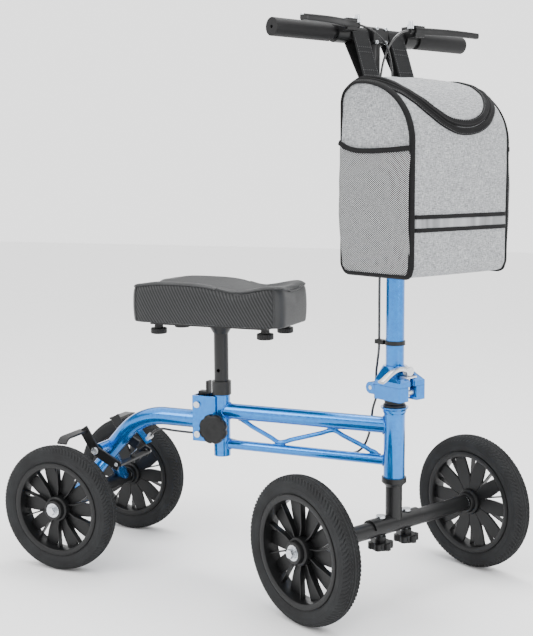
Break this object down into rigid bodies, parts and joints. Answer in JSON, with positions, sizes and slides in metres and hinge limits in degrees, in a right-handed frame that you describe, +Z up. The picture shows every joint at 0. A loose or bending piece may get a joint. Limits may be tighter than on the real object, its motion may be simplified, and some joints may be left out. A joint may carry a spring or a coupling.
{
  "type": "knee scooter",
  "caption": "steerable knee scooter with a padded knee rest, folding steering column, handlebar brakes acting on the rear tyres and a zipped bag on the bar",
  "frame": {"origin": "on the floor, midway along and across the whole scooter at rest", "axes": "+X is the way the scooter rolls forward, +Y is the rider's left, +Z is up; at rest the front wheels, column, bar and bag are turned 27 degrees to the rider's right"},
  "size_m": [1.0019, 0.5464, 1.05],
  "materials": {
    "frame_paint": "candy light blue, high gloss",
    "black_metal": "satin black coating",
    "bright_steel": "zinc plated, semi-bright",
    "tyre_rubber": "matt rubber",
    "wheel_plastic": "satin moulded plastic",
    "knob_plastic": "fine moulded texture",
    "cable_jacket": "smooth jacket",
    "grip_rubber": "soft matt",
    "pad_vinyl": "grained vinyl over foam",
    "bag_fabric": "heather grey woven polyester",
    "webbing": "woven webbing"
  },
  "bodies": {
    "frame": {"seat_tube": "frame_paint", "seat_collar": "black_metal", "top_tube": "frame_paint", "lower_tube": "frame_paint", "truss_rod": "frame_paint", "head_tube": "frame_paint", "lower_cup": "black_metal", "head_bearings": "bright_steel", "latch_bracket": "frame_paint", "bracket_bolts": "bright_steel", "rear_tube": "frame_paint", "yoke_leg_right": "frame_paint", "yoke_leg_left": "frame_paint", "rear_axle": "black_metal", "rear_bolts": "bright_steel", "barrel_adjuster": "bright_steel", "cable_boot": "grip_rubber", "main_cable": "cable_jacket"},
    "steering": {"steerer": "black_metal", "head_locknut": "black_metal", "lower_clamp": "frame_paint", "front_axle": "black_metal", "steering_bolts": "bright_steel"},
    "star_knob_right": {"star_knob_right": "knob_plastic"},
    "star_knob_left": {"star_knob_left": "knob_plastic"},
    "front_wheel_right": {"front_rim_right": "wheel_plastic", "front_tyre_right": "tyre_rubber", "front_bearings_right": "bright_steel"},
    "front_wheel_left": {"front_rim_left": "wheel_plastic", "front_tyre_left": "tyre_rubber", "front_bearings_left": "bright_steel"},
    "rear_wheel_right": {"rear_rim_right": "wheel_plastic", "rear_tyre_right": "tyre_rubber", "rear_bearings_right": "bright_steel"},
    "rear_wheel_left": {"rear_rim_left": "wheel_plastic", "rear_tyre_left": "tyre_rubber", "rear_bearings_left": "bright_steel"},
    "column": {"upper_clamp": "frame_paint", "column_tube": "frame_paint", "fold_bolt": "bright_steel", "cable_guides": "knob_plastic", "height_clamp": "black_metal"},
    "fold_lever": {"fold_lever": "bright_steel"},
    "height_lever": {"height_lever": "black_metal"},
    "stem": {"stem": "black_metal", "handlebar": "black_metal", "grips": "grip_rubber", "brake_perches": "black_metal", "bag_straps": "webbing", "bag_shell": "bag_fabric", "lever_cables": "cable_jacket"},
    "bag_lid": {"bag_lid": "bag_fabric"},
    "brake_lever_right": {"brake_lever_right": "black_metal"},
    "brake_lever_left": {"brake_lever_left": "black_metal"},
    "seat": {"seat_post": "black_metal", "knee_pad": "pad_vinyl", "pad_knobs": "knob_plastic"},
    "seat_knob": {"seat_knob": "knob_plastic"},
    "latch_lever": {"latch_lever": "knob_plastic"},
    "brake_arm": {"brake_arm": "black_metal"}
  },
  "joints": [
    {"name": "steering", "type": "hinge", "parent": "frame", "child": "steering", "pos_m": [0.274, 0, 0.3], "axis": [0, 0, 1], "range_deg": [-18, 72], "deforming": ["main_cable"]},
    {"name": "column_fold", "type": "hinge", "parent": "steering", "child": "column", "pos_m": [0.24727, 0.01362, 0.392], "axis": [-0.454, -0.891, 0], "range_deg": [0, 38], "deforming": ["main_cable"]},
    {"name": "stem_slide", "type": "slide", "parent": "column", "child": "stem", "axis": [0, 0, -1], "range_m": [-0.06, 0.06], "deforming": ["lever_cables"]},
    {"name": "seat_slide", "type": "slide", "parent": "frame", "child": "seat", "axis": [0, 0, -1], "range_m": [-0.075, 0.06]},
    {"name": "front_wheel_right_spin", "type": "hinge", "parent": "steering", "child": "front_wheel_right", "pos_m": [0.17253, -0.19914, 0.133], "axis": [0.454, 0.891, 0], "continuous": true},
    {"name": "front_wheel_left_spin", "type": "hinge", "parent": "steering", "child": "front_wheel_left", "pos_m": [0.37547, 0.19914, 0.133], "axis": [0.454, 0.891, 0], "continuous": true},
    {"name": "rear_wheel_right_spin", "type": "hinge", "parent": "frame", "child": "rear_wheel_right", "pos_m": [-0.378, -0.139, 0.126], "axis": [0, 1, 0], "continuous": true},
    {"name": "rear_wheel_left_spin", "type": "hinge", "parent": "frame", "child": "rear_wheel_left", "pos_m": [-0.378, 0.139, 0.126], "axis": [0, 1, 0], "continuous": true},
    {"name": "brake_lever_right_pull", "type": "hinge", "parent": "stem", "child": "brake_lever_right", "pos_m": [0.20962, -0.05586, 1.041], "axis": [0, 0, -1], "range_deg": [0, 15], "stiffness_Nm_per_rad": 2, "springref_deg": -17.19},
    {"name": "brake_lever_left_pull", "type": "hinge", "parent": "stem", "child": "brake_lever_left", "pos_m": [0.28135, 0.08492, 1.041], "axis": [0, 0, 1], "range_deg": [0, 15], "stiffness_Nm_per_rad": 2, "springref_deg": -17.19},
    {"name": "rear_brake", "type": "hinge", "parent": "frame", "child": "brake_arm", "pos_m": [-0.34061, 0, 0.22699], "axis": [0, -1, 0], "range_deg": [0, 2.6]},
    {"name": "fold_lever_turn", "type": "hinge", "parent": "column", "child": "fold_lever", "pos_m": [0.30429, -0.01544, 0.42735], "axis": [0.891, -0.454, 0], "range_deg": [-95, 0]},
    {"name": "height_lever_turn", "type": "hinge", "parent": "column", "child": "height_lever", "pos_m": [0.25172, 0.01135, 0.7], "axis": [0.454, 0.891, 0], "range_deg": [0, 150]},
    {"name": "seat_knob_turn", "type": "hinge", "parent": "frame", "child": "seat_knob", "pos_m": [-0.082, -0.04, 0.2905], "axis": [0, -1, 0], "continuous": true},
    {"name": "latch_lever_pull", "type": "hinge", "parent": "frame", "child": "latch_lever", "pos_m": [-0.127, 0, 0.332], "axis": [0, 1, 0], "range_deg": [-12, 0], "stiffness_Nm_per_rad": 0.5, "springref_deg": 17.19},
    {"name": "star_knob_right_turn", "type": "hinge", "parent": "steering", "child": "star_knob_right", "pos_m": [0.25856, -0.03029, 0.105], "axis": [0, 0, 1], "continuous": true},
    {"name": "star_knob_left_turn", "type": "hinge", "parent": "steering", "child": "star_knob_left", "pos_m": [0.28944, 0.03029, 0.105], "axis": [0, 0, 1], "continuous": true},
    {"name": "bag_lid_open", "type": "hinge", "parent": "stem", "child": "bag_lid", "pos_m": [0.27304, -0.00849, 0.9275], "axis": [-0.454, -0.891, 0], "range_deg": [0, 80]}
  ],
  "couplings": [
    {"joint": "rear_brake", "follows": "brake_lever_left_pull", "ratio": 0.17333}
  ]
}
